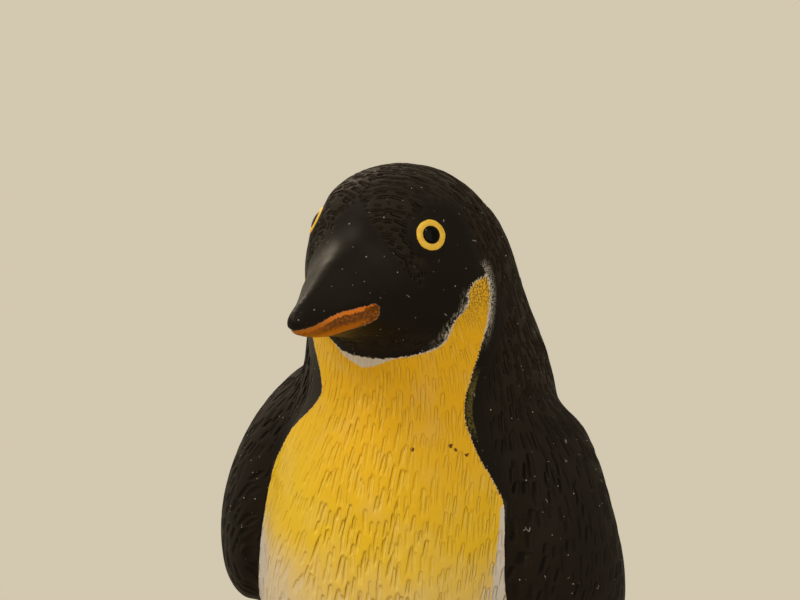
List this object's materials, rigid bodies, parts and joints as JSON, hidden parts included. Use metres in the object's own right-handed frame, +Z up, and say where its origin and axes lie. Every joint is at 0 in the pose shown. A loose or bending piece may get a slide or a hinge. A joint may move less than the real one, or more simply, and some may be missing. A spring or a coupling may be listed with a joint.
{
  "type": "penguin figurine",
  "caption": "Standing penguin figurine of hollow moulded vinyl with a black hood, back and flippers, a yellow bib, an orange lower bill and webbed feet.",
  "frame": {"origin": "centre of the figure's footprint box, on the surface it stands on", "axes": "+Z up, the penguin faces -Y, and its left side is +X"},
  "size_m": [0.0576, 0.0532, 0.09],
  "materials": {
    "black_vinyl": "sprayed matt black",
    "yellow_vinyl": "sprayed yellow fading to bare white vinyl",
    "orange_vinyl": "brushed orange",
    "eye_yellow": "satin yellow",
    "pupil_black": "gloss black",
    "dark_foot": "sprayed matt black",
    "plug_white": "bare white vinyl"
  },
  "bodies": {
    "root": {"head_shell": "black_vinyl", "back_shell": "black_vinyl", "left_flipper": "black_vinyl", "right_flipper": "black_vinyl", "breast_shell": "yellow_vinyl", "lower_bill": "orange_vinyl", "left_eye_ring": "eye_yellow", "right_eye_ring": "eye_yellow", "left_pupil": "pupil_black", "right_pupil": "pupil_black", "left_foot": "dark_foot", "right_foot": "dark_foot", "vent_plug": "plug_white"}
  },
  "joints": []
}
